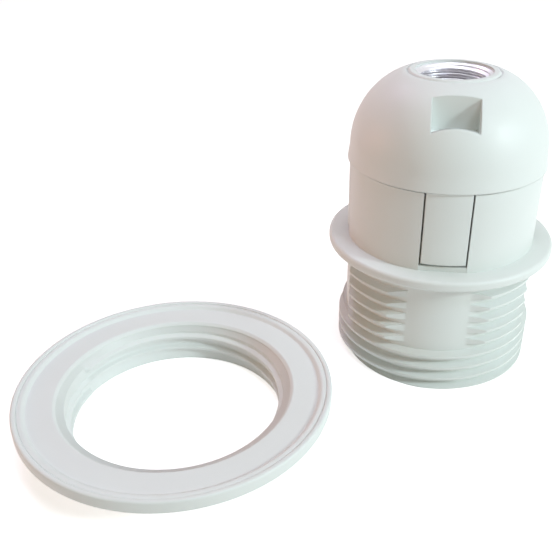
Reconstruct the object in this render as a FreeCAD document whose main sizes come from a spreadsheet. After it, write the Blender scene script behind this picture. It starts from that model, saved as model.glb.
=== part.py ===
"""Edison screw lamp holder for E27 lamps: a moulded threaded sleeve with a flange, a domed cap that
lifts off on four latch tongues, a plated entry bush, the contact carrier inside, and the shade ring,
which lies beside it. Millimetres, +Z up, origin on the axis at the lamp end."""
import FreeCAD
import Part
import Sketcher
import math
import os

# Driving sizes: name, millimetres, meaning.
SIZES = [
    ("shell_radius", 13.3, "screw shell, inside, between its ridges"),
    ("shell_wall", 0.4, "screw shell"),
    ("shell_foot_gap", 1.0, "screw shell above the lip round the mouth"),
    ("shell_neck_fall", 3.0, "height over which the screw shell closes in"),
    ("shell_neck_inset", 0.9, "how far the screw shell closes in"),
    ("shell_play", 0.15, "screw shell to the carrier"),
    ("carrier_tube_wall", 1.75, "carrier's tube round the screw shell"),
    ("carrier_play", 0.3, "carrier's tube to the sleeve"),
    ("carrier_flange_play", 0.15, "carrier's flange to the sleeve"),
    ("carrier_flange_height", 1.6, "carrier's flange above the ledge"),
    ("carrier_foot_gap", 0.2, "carrier to the lip round the mouth"),
    ("lower_wall", 2.05, "sleeve wall under the thread"),
    ("upper_wall", 1.75, "sleeve wall above the ledge"),
    ("ledge_width", 0.55, "ledge that carries the contact carrier"),
    ("ledge_depth", 11.4, "that ledge below the sleeve's upper end"),
    ("mouth_play", 1.0, "mouth for the lamp cap over the screw shell's inside"),
    ("rim_lip_height", 2.2, "lip round the mouth"),
    ("ridge_height", 1.55, "shade thread's ridges"),
    ("thread_pitch", 2.5, "rise of the shade thread in one turn"),
    ("thread_length", 23.2, "lamp end to the flange"),
    ("ridge_crest_width", 0.5, "flat on top of a thread ridge"),
    ("ridge_base_width", 1.5, "thread ridge at its foot"),
    ("ridge_sink", 0.05, "how far a ridge reaches into the wall that carries it"),
    ("start_depth", 0.825, "ridge's middle below the lamp end where its first turn starts, at -X"),
    ("thread_end_gap", 0.9, "last ridge to the flange"),
    ("gap_inset", 0.9, "how far inside the thread's root each gap's cutting plane lies"),
    ("gap_floor", 8.7, "height where the gaps in the thread begin"),
    ("gap_half_width", 11.0, "half of the cut that makes a gap"),
    ("flange_overhang", 2.4, "flange that the shade bears on, past the thread"),
    ("flange_thickness", 2.0, "flange"),
    ("flange_edge", 0.7, "rounding of the flange's edge"),
    ("relief_margin", 0.1, "relief under the flange past the thread's crests"),
    ("relief_depth", 0.2, "that relief, which leaves the shade's seat its own face"),
    ("collar_height", 15.1, "plain collar above the flange"),
    ("latch_count", 4, "latch tongues, windows and gaps in the thread"),
    ("window_width", 8.6, "window for a latch tongue"),
    ("sill_height", 1.0, "lower edge of the windows above the flange"),
    ("sill_depth", 0.55, "recess between sill and flange"),
    ("cut_margin", 1.0, "reach of a cut past the skin it goes through"),
    ("latch_gap", 0.3, "tongue to each side of its window"),
    ("latch_foot_gap", 0.5, "tongue to the sill"),
    ("latch_thickness", 1.3, "latch tongue"),
    ("latch_root", 1.0, "how far a tongue reaches up into the cap's wall"),
    ("seam_gap", 0.3, "sleeve to the cap's edge"),
    ("cap_overhang", 0.45, "cap's edge past the collar"),
    ("cap_straight", 2.5, "straight part of the cap's wall"),
    ("cap_flare", 0.35, "how far that part leans in towards the shoulder"),
    ("cap_wall", 1.9, "cap wall"),
    ("shoulder_radius", 13.1, "round of the cap's shoulder"),
    ("skirt_gap", 0.3, "cap's skirt to the sleeve"),
    ("skirt_wall", 1.2, "cap's skirt"),
    ("skirt_depth", 1.7, "skirt below the cap's edge"),
    ("skirt_blend", 1.2, "height over which the skirt runs into the wall"),
    ("lip_rise", 0.9, "lip round the cable entry above the shoulder"),
    ("lip_wall", 1.3, "that lip"),
    ("lip_edge", 0.35, "chamfer of the lip"),
    ("lip_hold", 0.5, "how far the lip covers the bush"),
    ("step_width", 0.6, "low step round the lip"),
    ("step_drop", 0.25, "that step below the top of the shoulder's round"),
    ("bush_bore", 6.0, "entry bush over its thread's crests"),
    ("bush_wall", 1.5, "entry bush"),
    ("bush_flare", 0.8, "chamfer at both ends of the bush"),
    ("bush_length", 9.4, "entry bush"),
    ("bush_recess", 0.45, "bush below the lip"),
    ("boss_wall", 1.8, "boss round the bush"),
    ("boss_floor", 1.1, "ledge under the bush"),
    ("boss_hold", 0.9, "how far that ledge reaches under the bush"),
    ("notch_count", 2, "notches in the shoulder"),
    ("notch_width", 8.1, "notch in the shoulder"),
    ("notch_clear", 0.75, "notch's upright back wall outside the boss"),
    ("notch_depth", 5.45, "notch from its back wall to its upright front wall"),
    ("notch_fall", 5.4, "notch's floor below the middle of its front edge"),
    ("notch_wall", 1.3, "wall behind, beside and under a notch"),
    ("deck_thickness", 2.7, "carrier's floor under the terminals"),
    ("recess_radius", 4.6, "recess over the centre contact"),
    ("recess_depth", 1.4, "recess over the centre contact"),
    ("terminal_offset", 7.8, "axis to each terminal"),
    ("terminal_length", 6.0, "terminal block along X"),
    ("terminal_width", 7.0, "terminal block along Y"),
    ("terminal_play", 0.1, "terminal block to its chamber"),
    ("terminal_roof", 2.2, "metal over the wire opening, which the screw is tapped through"),
    ("chamber_wall", 1.3, "wall round a terminal"),
    ("chamber_height", 5.6, "wall round a terminal above the floor"),
    ("barrier_thickness", 1.6, "barrier between the terminals"),
    ("barrier_length", 19.0, "barrier between the terminals"),
    ("barrier_height", 7.4, "barrier above the floor"),
    ("wire_width", 3.4, "wire opening of a terminal"),
    ("wire_floor", 0.7, "metal under the wire opening"),
    ("wire_height", 3.5, "wire opening of a terminal"),
    ("plate_thickness", 0.6, "clamp plate"),
    ("plate_play", 0.1, "clamp plate to its block, above and beside"),
    ("plate_inset", 0.3, "clamp plate inside each end of its block"),
    ("screw_radius", 1.45, "terminal screw's thread"),
    ("screw_play", 0.05, "terminal screw in its hole"),
    ("screw_travel", 1.0, "how far a terminal screw winds in"),
    ("screw_stop_gap", 0.2, "screw head to the block when wound in"),
    ("head_rim", 1.05, "terminal screw's head past its thread"),
    ("head_height", 1.8, "terminal screw's head"),
    ("head_edge", 0.3, "chamfer of the screw head"),
    ("slot_width", 0.7, "screwdriver slot"),
    ("slot_depth", 0.9, "screwdriver slot"),
    ("strip_thickness", 0.4, "contact strips"),
    ("strip_width", 3.2, "contact strips"),
    ("strip_margin", 0.3, "strip to the slot it passes"),
    ("leaf_drop", 1.9, "centre leaf below the carrier's ceiling"),
    ("leaf_leg", 5.6, "axis to the centre leaf's upright leg"),
    ("leaf_end", 2.4, "centre leaf past the axis"),
    ("leaf_bend", 0.5, "inner round of the leaf's bends"),
    ("shell_hole_play", 0.8, "hole in the screw shell's end round the leaf"),
    ("button_radius", 2.2, "centre contact's head"),
    ("button_height", 1.3, "centre contact's head"),
    ("button_crown", 0.5, "round of the centre contact's head"),
    ("button_shank", 0.9, "centre contact's shank"),
    ("button_play", 0.05, "shank in the leaf"),
    ("button_collar_rim", 0.6, "upset collar past the shank"),
    ("button_collar_height", 0.5, "upset collar on the leaf"),
    ("rivet_gap", 0.2, "rivet head to the chamber's wall"),
    ("rivet_radius", 1.0, "rivet shank"),
    ("rivet_play", 0.05, "rivet in its hole"),
    ("rivet_rim", 0.6, "rivet head past its shank"),
    ("rivet_head_height", 0.6, "rivet head"),
    ("ring_x", 46.7, "shade ring's middle, to the left of the axis"),
    ("ring_y", 34.8, "shade ring's middle, in front of the axis"),
    ("ring_height", 8.6, "shade ring over its raised rim"),
    ("ring_brim", 6.1, "ring's plate and rim past its collar"),
    ("ring_rim_width", 1.9, "raised rim"),
    ("ring_rim_height", 1.2, "raised rim above the plate"),
    ("ring_plate", 1.3, "ring's plate"),
    ("ring_edge", 0.6, "rounding of the rim"),
    ("ring_collar_wall", 2.7, "wall of the ring's threaded collar"),
    ("ring_thread_gap", 0.2, "ring's bore over the sleeve's thread crests"),
    ("ring_thread_bite", 0.65, "how far the ring's ridges reach in past those crests"),
    ("ring_thread_start", 0.575, "foot of the ring's first ridge"),
    ("ring_thread_end_gap", 0.1, "ring's last ridge to the chamfer"),
    ("ring_mouth_width", 0.2, "chamfer at the top of the ring's bore"),
    ("ring_ledge_drop", 0.4, "ledge below the plate"),
    ("ring_ledge_width", 1.4, "ledge inside the plate"),
]

# Sizes worked out from the driving ones: name, formula.
DERIVED = [
    ("shell_outer", "shell_radius + shell_wall"),
    ("carrier_bore", "shell_outer + shell_play"),
    ("carrier_radius", "carrier_bore + carrier_tube_wall"),
    ("lower_bore", "carrier_radius + carrier_play"),
    ("upper_bore", "lower_bore + ledge_width"),
    ("carrier_flange", "upper_bore - carrier_flange_play"),
    ("thread_root_radius", "lower_bore + lower_wall"),
    ("thread_crest_radius", "thread_root_radius + ridge_height"),
    ("flange_radius", "thread_crest_radius + flange_overhang"),
    ("collar_radius", "upper_bore + upper_wall"),
    ("rim_lip_radius", "shell_radius + mouth_play"),
    ("flange_top", "thread_length + flange_thickness"),
    ("flange_rounded", "flange_radius - flange_edge"),
    ("seat_inner", "thread_crest_radius + relief_margin"),
    ("relief_top", "thread_length + relief_depth"),
    ("flange_round_low", "thread_length + flange_edge"),
    ("flange_round_high", "flange_top - flange_edge"),
    ("sleeve_top", "flange_top + collar_height"),
    ("ledge_height", "sleeve_top - ledge_depth"),
    ("ridge_slope", "(ridge_base_width - ridge_crest_width) / 2"),
    ("ridge_foot", "thread_root_radius - ridge_sink"),
    ("start_foot", "start_depth + ridge_base_width / 2"),
    ("start_crest", "start_depth + ridge_crest_width / 2"),
    ("start_crest_top", "start_depth - ridge_crest_width / 2"),
    ("start_top", "start_depth - ridge_base_width / 2"),
    ("thread_rise", "thread_length - thread_end_gap - ridge_base_width / 2 + start_depth"),
    ("end_cut_inner", "thread_root_radius - cut_margin"),
    ("end_cut_depth", "start_foot + cut_margin"),
    ("gap_distance", "thread_root_radius - gap_inset"),
    ("gap_reach", "thread_crest_radius + cut_margin"),
    ("gap_rise", "thread_length - gap_floor"),
    ("window_half", "window_width / 2"),
    ("window_sill", "flange_top + sill_height"),
    ("window_reach", "lower_bore - cut_margin"),
    ("window_rise", "sleeve_top - window_sill"),
    ("collar_reach", "collar_radius + cut_margin"),
    ("sill_reach", "collar_radius - sill_depth"),
    ("latch_half", "window_half - latch_gap"),
    ("latch_foot", "window_sill + latch_foot_gap"),
    ("latch_rise", "cap_bottom + latch_root - latch_foot"),
    ("latch_inner", "collar_radius - latch_thickness"),
    ("latch_outer_y", "sqrt(collar_radius ^ 2 - latch_half ^ 2)"),
    ("latch_inner_y", "sqrt(latch_inner ^ 2 - latch_half ^ 2)"),
    ("cap_bottom", "sleeve_top + seam_gap"),
    ("cap_radius", "collar_radius + cap_overhang"),
    ("shoulder_outer", "cap_radius - cap_flare"),
    ("cap_inner", "shoulder_outer - cap_wall"),
    ("shoulder_height", "cap_bottom + cap_straight"),
    ("shoulder_centre", "shoulder_outer - shoulder_radius"),
    ("shoulder_inner", "shoulder_radius - cap_wall"),
    ("total_height", "shoulder_height + shoulder_radius + lip_rise"),
    ("bush_radius", "bush_bore + bush_wall"),
    ("bush_mouth", "bush_bore + bush_flare"),
    ("bush_top", "total_height - bush_recess"),
    ("bush_bottom", "bush_top - bush_length"),
    ("bush_chamfer_low", "bush_bottom + bush_flare"),
    ("bush_chamfer_high", "bush_top - bush_flare"),
    ("lip_bore", "bush_radius - lip_hold"),
    ("lip_radius", "lip_bore + lip_wall"),
    ("lip_corner", "lip_radius - lip_edge"),
    ("lip_shoulder", "total_height - lip_edge"),
    ("step_radius", "lip_radius + step_width"),
    ("step_top", "shoulder_height + shoulder_radius - step_drop"),
    ("step_foot", "shoulder_height + sqrt(shoulder_radius ^ 2 - (step_radius - shoulder_centre) ^ 2)"),
    ("boss_radius", "bush_radius + boss_wall"),
    ("boss_mouth", "bush_radius - boss_hold"),
    ("boss_bottom", "bush_bottom - boss_floor"),
    ("boss_root", "shoulder_height + sqrt(shoulder_inner ^ 2 - (boss_radius - shoulder_centre) ^ 2)"),
    ("skirt_outer", "upper_bore - skirt_gap"),
    ("skirt_inner", "skirt_outer - skirt_wall"),
    ("skirt_foot", "cap_bottom - skirt_depth"),
    ("skirt_top", "cap_bottom + skirt_blend"),
    ("trim_reach", "cap_radius + 3 * cut_margin"),
    ("trim_top", "total_height + cut_margin"),
    ("notch_half", "notch_width / 2"),
    ("notch_back", "boss_radius + notch_clear"),
    ("notch_lip", "notch_back + notch_depth"),
    ("notch_lip_height", "shoulder_height + sqrt(shoulder_radius ^ 2 - (notch_lip - shoulder_centre) ^ 2)"),
    ("notch_floor", "notch_lip_height - notch_fall"),
    ("block_half", "notch_half + notch_wall"),
    ("block_back", "notch_back - notch_wall"),
    ("block_front", "sqrt(cap_inner ^ 2 - block_half ^ 2) + cap_wall / 4"),
    ("block_bottom", "notch_floor - notch_wall"),
    ("block_rise", "total_height - block_bottom"),
    ("deck_height", "ledge_height + carrier_flange_height"),
    ("ceiling", "deck_height - deck_thickness"),
    ("carrier_foot", "rim_lip_height + carrier_foot_gap"),
    ("recess_top", "ceiling + recess_depth"),
    ("shell_foot", "rim_lip_height + shell_foot_gap"),
    ("shell_end_low", "ceiling - shell_wall"),
    ("shell_neck_height", "shell_end_low - shell_neck_fall"),
    ("shell_neck_radius", "shell_radius - shell_neck_inset"),
    ("shell_neck_outer", "shell_neck_radius + shell_wall"),
    ("shell_hole_radius", "sqrt(leg_far ^ 2 + strip_half ^ 2) + shell_hole_play"),
    ("chamber_x_near", "terminal_offset - terminal_half_x - terminal_play"),
    ("chamber_x_far", "terminal_offset + terminal_half_x + terminal_play"),
    ("chamber_y", "terminal_half_y + terminal_play"),
    ("wall_x_near", "chamber_x_near - chamber_wall"),
    ("wall_x_far", "chamber_x_far + chamber_wall"),
    ("wall_y", "chamber_y + chamber_wall"),
    ("barrier_half", "barrier_thickness / 2"),
    ("barrier_reach", "barrier_length / 2"),
    ("strip_half", "strip_width / 2"),
    ("strip_top", "deck_height + strip_thickness"),
    ("gate_half", "strip_half + strip_margin"),
    ("gate_near", "terminal_offset - gate_half"),
    ("gate_far", "terminal_offset + gate_half"),
    ("gate_y", "wall_y + cut_margin"),
    ("leg_near", "leaf_leg - strip_thickness / 2"),
    ("leg_far", "leaf_leg + strip_thickness / 2"),
    ("slot_near", "leg_near - strip_margin"),
    ("slot_far", "leg_far + strip_margin"),
    ("leaf_root", "terminal_offset + terminal_half_x"),
    ("leaf_low", "ceiling - leaf_drop"),
    ("leaf_high", "leaf_low + strip_thickness"),
    ("leaf_bend_outer", "leaf_bend + strip_thickness"),
    ("button_low", "leaf_low - button_height"),
    ("button_flat", "button_radius - button_crown"),
    ("button_side", "button_low + button_crown"),
    ("button_hole", "button_shank + button_play"),
    ("button_collar", "button_shank + button_collar_rim"),
    ("button_top", "leaf_high + button_collar_height"),
    ("rivet_hole", "rivet_radius + rivet_play"),
    ("rivet_head", "rivet_radius + rivet_rim"),
    ("rivet_reach", "wall_y + rivet_gap + rivet_head"),
    ("rivet_low", "shell_end_low - rivet_head_height"),
    ("rivet_top_live", "deck_height + rivet_head_height"),
    ("rivet_top_neutral", "strip_top + rivet_head_height"),
    ("neutral_front", "rivet_reach + rivet_head"),
    ("terminal_half_x", "terminal_length / 2"),
    ("terminal_half_y", "terminal_width / 2"),
    ("wire_half", "wire_width / 2"),
    ("wire_low", "strip_top + wire_floor"),
    ("wire_high", "wire_low + wire_height"),
    ("terminal_top", "wire_high + terminal_roof"),
    ("terminal_height", "terminal_top - strip_top"),
    ("screw_hole", "screw_radius + screw_play"),
    ("plate_top", "wire_high - plate_play"),
    ("plate_low", "plate_top - plate_thickness"),
    ("plate_half_x", "wire_half - plate_play"),
    ("plate_half_y", "terminal_half_y - plate_inset"),
    ("head_radius", "screw_radius + head_rim"),
    ("head_low", "terminal_top + screw_stop_gap + screw_travel"),
    ("head_high", "head_low + head_height"),
    ("head_shoulder", "head_high - head_edge"),
    ("head_corner", "head_radius - head_edge"),
    ("slot_half", "slot_width / 2"),
    ("slot_floor", "head_high - slot_depth"),
    ("slot_reach", "head_radius + cut_margin"),
    ("ring_bore", "thread_crest_radius + ring_thread_gap"),
    ("ring_crest", "thread_crest_radius - ring_thread_bite"),
    ("ring_collar", "ring_bore + ring_collar_wall"),
    ("ring_radius", "ring_collar + ring_brim"),
    ("ring_face", "ring_height - ring_rim_height"),
    ("ring_under", "ring_face - ring_plate"),
    ("ring_rim_inner", "ring_radius - ring_rim_width"),
    ("ring_out_round", "ring_radius - ring_edge"),
    ("ring_in_round", "ring_rim_inner + ring_edge"),
    ("ring_low_round", "ring_under + ring_edge"),
    ("ring_high_round", "ring_height - ring_edge"),
    ("ring_ledge_height", "ring_face - ring_ledge_drop"),
    ("ring_ledge_inner", "ring_bore + ring_mouth_width"),
    ("ring_ledge_radius", "ring_ledge_inner + ring_ledge_width"),
    ("ring_lead_height", "ring_ledge_height - ring_mouth_width"),
    ("ring_foot", "ring_bore + ridge_sink"),
    ("ring_ridge_low", "ring_thread_start + ridge_slope"),
    ("ring_ridge_high", "ring_ridge_low + ridge_crest_width"),
    ("ring_ridge_end", "ring_thread_start + ridge_base_width"),
    ("ring_thread_rise", "ring_lead_height - ring_thread_end_gap - ridge_base_width - ring_thread_start"),
]

document = FreeCAD.newDocument("lamp_holder")
sheet = document.addObject("Spreadsheet::Sheet", "sizes")


def fill_sheet():
    """Writes the driving sizes as plain numbers and the rest as formulas, each with its alias."""
    rows = [(name, str(number), note) for name, number, note in SIZES]
    rows += [(name, "=" + formula, "worked out") for name, formula in DERIVED]
    for row, (name, content, note) in enumerate(rows, start=1):
        sheet.set("A%d" % row, name)
        sheet.set("B%d" % row, content)
        sheet.set("C%d" % row, note)
        sheet.setAlias("B%d" % row, name)
    document.recompute()


def number(name):
    """The value of an alias; a leading minus turns its sign, and 0 stands for the axis."""
    if name == 0:
        return 0.0
    found = sheet.get(name.lstrip("-"))
    plain = float(getattr(found, "Value", found))
    return -plain if name.startswith("-") else plain


def new_body(label):
    """A body for one piece; its label names the piece."""
    body = document.addObject("PartDesign::Body", label)
    body.Label = label
    return body


def set_down(body, x=0, y=0):
    """Places a body at named distances along X and Y."""
    for axis, name in (("x", x), ("y", y)):
        if name != 0:
            sign = "-" if name.startswith("-") else ""
            body.setExpression("Placement.Base." + axis, "%ssizes.%s" % (sign, name.lstrip("-")))


def origin_piece(body, role):
    """One of the body's own origin planes or axes."""
    return next(piece for piece in body.Origin.OriginFeatures if piece.Role == role)


def new_sketch(body, role, name, height=None):
    """A sketch on an origin plane, raised to a named height where one is given."""
    sketch = body.newObject("Sketcher::SketchObject", name)
    sketch.AttachmentSupport = [(origin_piece(body, role), "")]
    sketch.MapMode = "FlatFace"
    if height is not None:
        sketch.setExpression("AttachmentOffset.Base.z", "sizes." + height)
    return sketch


def pin(sketch, edge, end, point):
    """Holds one end of an edge, or a circle's centre, at named distances from the axes."""
    for kind, axis, place in (("DistanceX", -2, point[0]), ("DistanceY", -1, point[1])):
        if place == 0:
            sketch.addConstraint(Sketcher.Constraint("PointOnObject", edge, end, axis))
            continue
        size = abs(number(place))
        if place.startswith("-"):
            rule = Sketcher.Constraint(kind, edge, end, -1, 1, size)
        else:
            rule = Sketcher.Constraint(kind, -1, 1, edge, end, size)
        index = sketch.addConstraint(rule)
        sketch.setExpression("Constraints[%d]" % index, "sizes." + place.lstrip("-"))


def hold_radius(sketch, edge, name):
    """Binds a circle's or an arc's radius to a named size."""
    index = sketch.addConstraint(Sketcher.Constraint("Radius", edge, number(name)))
    sketch.setExpression("Constraints[%d]" % index, "sizes." + name)


def arc_between(start, end, centre, radius):
    """The shorter arc between two points, and which of its ends each of them is."""
    first = math.atan2(start[1] - centre[1], start[0] - centre[0])
    last = math.atan2(end[1] - centre[1], end[0] - centre[0])
    circle = Part.Circle(FreeCAD.Vector(centre[0], centre[1], 0), FreeCAD.Vector(0, 0, 1), radius)
    if (last - first) % (2 * math.pi) < math.pi:
        return Part.ArcOfCircle(circle, first, last), (1, 2)
    return Part.ArcOfCircle(circle, last, first), (2, 1)


def outline(sketch, points, arcs=None):
    """Closes an outline through named points. arcs maps an edge's number to its radius and centre."""
    arcs = arcs or {}
    count = len(points)
    first_edge = sketch.GeometryCount
    spots = [(number(x), number(y)) for x, y in points]
    ends = []
    for edge in range(count):
        start = spots[edge]
        end = spots[(edge + 1) % count]
        if edge in arcs:
            radius, centre_x, centre_y = (number(name) for name in arcs[edge])
            curve, order = arc_between(start, end, (centre_x, centre_y), radius)
        else:
            curve = Part.LineSegment(FreeCAD.Vector(*start, 0), FreeCAD.Vector(*end, 0))
            order = (1, 2)
        sketch.addGeometry(curve)
        ends.append(order)
    for edge in range(count):
        after = (edge + 1) % count
        joint = (first_edge + edge, ends[edge][1], first_edge + after, ends[after][0])
        sketch.addConstraint(Sketcher.Constraint("Coincident", *joint))
        pin(sketch, first_edge + edge, ends[edge][0], points[edge])
        if edge in arcs:
            hold_radius(sketch, first_edge + edge, arcs[edge][0])


def rectangle(sketch, low_x, high_x, low_y, high_y):
    """A rectangle between named lines."""
    outline(sketch, [(low_x, low_y), (high_x, low_y), (high_x, high_y), (low_x, high_y)])


def ring_line(sketch, x, y, radius):
    """A circle with a named centre and radius."""
    spot = FreeCAD.Vector(number(x), number(y), 0)
    edge = sketch.addGeometry(Part.Circle(spot, FreeCAD.Vector(0, 0, 1), number(radius)))
    pin(sketch, edge, 3, (x, y))
    hold_radius(sketch, edge, radius)


def turn(body, sketch, name, cut=False):
    """Turns a profile about the vertical axis, as a solid or as a cut."""
    kind = "PartDesign::Groove" if cut else "PartDesign::Revolution"
    feature = body.newObject(kind, name)
    feature.Profile = sketch
    feature.ReferenceAxis = (sketch, ["V_Axis"])
    feature.Angle = 360
    document.recompute()
    return feature


def raise_pad(body, sketch, name, height):
    """Raises a profile by a named height."""
    feature = body.newObject("PartDesign::Pad", name)
    feature.Profile = sketch
    feature.setExpression("Length", "sizes." + height)
    document.recompute()
    return feature


def cut_up(body, sketch, name, height):
    """Cuts a profile upwards through a named height, and proves that it took something away."""
    before = body.Shape.Volume
    feature = body.newObject("PartDesign::Pocket", name)
    feature.Profile = sketch
    feature.Reversed = True
    feature.setExpression("Length", "sizes." + height)
    document.recompute()
    if not body.Shape.Volume < before:
        raise RuntimeError(name + " cuts nothing")
    return feature


def cut_through(body, sketch, name):
    """Cuts a profile right through the body both ways."""
    before = body.Shape.Volume
    feature = body.newObject("PartDesign::Pocket", name)
    feature.Profile = sketch
    feature.SideType = "Symmetric"
    feature.Type = "ThroughAll"
    document.recompute()
    if not body.Shape.Volume < before:
        raise RuntimeError(name + " cuts nothing")
    return feature


def repeat_round(body, name, features, count):
    """Repeats features evenly about the vertical axis."""
    pattern = body.newObject("PartDesign::PolarPattern", name)
    pattern.Originals = features
    pattern.Axis = (origin_piece(body, "Z_Axis"), [""])
    pattern.Angle = 360
    pattern.setExpression("Occurrences", "sizes." + count)
    body.Tip = pattern
    document.recompute()
    return pattern


def wind_ridge(body, name, points, rise):
    """Winds a thread ridge of the given section up the vertical axis."""
    section = new_sketch(body, "XZ_Plane", name + "_section")
    outline(section, points)
    ridge = body.newObject("PartDesign::AdditiveHelix", name)
    ridge.Profile = section
    ridge.ReferenceAxis = (section, ["V_Axis"])
    ridge.Mode = "pitch-height-angle"
    ridge.setExpression("Pitch", "sizes.thread_pitch")
    ridge.setExpression("Height", "sizes." + rise)
    document.recompute()
    return ridge


def upright_edges(shape, spots):
    """Names of the straight edges along Y that stand at the given X and Z."""
    names = []
    for index, edge in enumerate(shape.Edges, start=1):
        first, last = edge.Vertexes[0].Point, edge.Vertexes[-1].Point
        along_y = abs(first.x - last.x) < 1e-6 and abs(first.z - last.z) < 1e-6
        if along_y and any(abs(first.x - x) < 1e-6 and abs(first.z - z) < 1e-6 for x, z in spots):
            names.append("Edge%d" % index)
    return names


def bend(body, name, radius, spots):
    """Rounds the edges along Y at the given named X and Z, as a strip's bend does."""
    base = body.Tip
    places = [(number(x), number(z)) for x, z in spots]
    fillet = body.newObject("PartDesign::Fillet", name)
    fillet.Base = (base, upright_edges(base.Shape, places))
    fillet.setExpression("Radius", "sizes." + radius)
    document.recompute()
    return fillet


def threaded_sleeve():
    """The moulded sleeve: shade thread with its gaps, flange, collar and latch windows.

    The ridges are wound first, run off the lamp end, and are cut off there and at the gaps, so that
    the wall under them stays whole."""
    body = new_body("threaded_sleeve")
    body.AllowCompound = True
    wind_ridge(body, "shade_thread", [
        ("-ridge_foot", "-start_foot"),
        ("-thread_crest_radius", "-start_crest"),
        ("-thread_crest_radius", "-start_crest_top"),
        ("-ridge_foot", "-start_top"),
    ], "thread_rise")
    below = new_sketch(body, "XZ_Plane", "end_cut_section")
    rectangle(below, "end_cut_inner", "gap_reach", "-end_cut_depth", 0)
    turn(body, below, "end_cut", cut=True)
    gap_plan = new_sketch(body, "XY_Plane", "gap_plan", "gap_floor")
    rectangle(gap_plan, "-gap_half_width", "gap_half_width", "-gap_reach", "-gap_distance")
    gap = cut_up(body, gap_plan, "thread_gap", "gap_rise")
    repeat_round(body, "thread_gaps", [gap], "latch_count")
    section = new_sketch(body, "XZ_Plane", "sleeve_section")
    outline(section, [
        ("rim_lip_radius", 0),
        ("thread_root_radius", 0),
        ("thread_root_radius", "relief_top"),
        ("seat_inner", "relief_top"),
        ("seat_inner", "thread_length"),
        ("flange_rounded", "thread_length"),
        ("flange_radius", "flange_round_low"),
        ("flange_radius", "flange_round_high"),
        ("flange_rounded", "flange_top"),
        ("collar_radius", "flange_top"),
        ("collar_radius", "sleeve_top"),
        ("upper_bore", "sleeve_top"),
        ("upper_bore", "ledge_height"),
        ("lower_bore", "ledge_height"),
        ("lower_bore", "rim_lip_height"),
        ("rim_lip_radius", "rim_lip_height"),
    ], {
        5: ("flange_edge", "flange_rounded", "flange_round_low"),
        7: ("flange_edge", "flange_rounded", "flange_round_high"),
    })
    turn(body, section, "sleeve_wall")
    window_plan = new_sketch(body, "XY_Plane", "window_plan", "window_sill")
    rectangle(window_plan, "-window_half", "window_half", "-collar_reach", "-window_reach")
    window = cut_up(body, window_plan, "latch_window", "window_rise")
    sill_plan = new_sketch(body, "XY_Plane", "sill_plan", "flange_top")
    rectangle(sill_plan, "-window_half", "window_half", "-collar_reach", "-sill_reach")
    sill = cut_up(body, sill_plan, "sill_recess", "sill_height")
    repeat_round(body, "windows", [window, sill], "latch_count")
    return body


def dome_cap():
    """The moulded cap: shoulder, lip, boss for the bush, skirt, latch tongues and two notches."""
    body = new_body("dome_cap")
    section = new_sketch(body, "XZ_Plane", "cap_section")
    outline(section, [
        ("cap_radius", "cap_bottom"),
        ("shoulder_outer", "shoulder_height"),
        ("step_radius", "step_foot"),
        ("step_radius", "step_top"),
        ("lip_radius", "step_top"),
        ("lip_radius", "lip_shoulder"),
        ("lip_corner", "total_height"),
        ("lip_bore", "total_height"),
        ("lip_bore", "bush_top"),
        ("bush_radius", "bush_top"),
        ("bush_radius", "bush_bottom"),
        ("boss_mouth", "bush_bottom"),
        ("boss_mouth", "boss_bottom"),
        ("boss_radius", "boss_bottom"),
        ("boss_radius", "boss_root"),
        ("cap_inner", "shoulder_height"),
        ("skirt_inner", "skirt_top"),
        ("skirt_inner", "skirt_foot"),
        ("skirt_outer", "skirt_foot"),
        ("skirt_outer", "cap_bottom"),
    ], {
        1: ("shoulder_radius", "shoulder_centre", "shoulder_height"),
        14: ("shoulder_inner", "shoulder_centre", "shoulder_height"),
    })
    turn(body, section, "cap_wall")
    block_plan = new_sketch(body, "XY_Plane", "notch_block_plan", "block_bottom")
    rectangle(block_plan, "-block_half", "block_half", "-block_front", "-block_back")
    block = raise_pad(body, block_plan, "notch_block", "block_rise")
    repeat_round(body, "notch_blocks", [block], "notch_count")
    trim = new_sketch(body, "XZ_Plane", "trim_section")
    outline(trim, [
        ("lip_radius", "trim_top"),
        ("lip_radius", "step_top"),
        ("step_radius", "step_top"),
        ("step_radius", "step_foot"),
        ("shoulder_outer", "shoulder_height"),
        ("trim_reach", "shoulder_height"),
        ("trim_reach", "trim_top"),
    ], {3: ("shoulder_radius", "shoulder_centre", "shoulder_height")})
    turn(body, trim, "shoulder_trim", cut=True)
    notch_side = new_sketch(body, "YZ_Plane", "notch_side")
    rectangle(notch_side, "-notch_lip", "-notch_back", "notch_floor", "trim_top")
    notch = body.newObject("PartDesign::Pocket", "notch")
    notch.Profile = notch_side
    notch.SideType = "Symmetric"
    notch.setExpression("Length", "sizes.notch_width")
    repeat_round(body, "notches", [notch], "notch_count")
    latch_plan = new_sketch(body, "XY_Plane", "latch_plan", "latch_foot")
    outline(latch_plan, [
        ("-latch_half", "-latch_outer_y"),
        ("latch_half", "-latch_outer_y"),
        ("latch_half", "-latch_inner_y"),
        ("-latch_half", "-latch_inner_y"),
    ], {0: ("collar_radius", 0, 0), 2: ("latch_inner", 0, 0)})
    latch = raise_pad(body, latch_plan, "latch_tongue", "latch_rise")
    repeat_round(body, "latch_tongues", [latch], "latch_count")
    return body


def entry_bush():
    """The plated bush that takes the threaded tube of the pendant."""
    body = new_body("entry_bush")
    section = new_sketch(body, "XZ_Plane", "bush_section")
    outline(section, [
        ("bush_mouth", "bush_bottom"),
        ("bush_radius", "bush_bottom"),
        ("bush_radius", "bush_top"),
        ("bush_mouth", "bush_top"),
        ("bush_bore", "bush_chamfer_high"),
        ("bush_bore", "bush_chamfer_low"),
    ])
    turn(body, section, "bush_wall")
    return body


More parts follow.
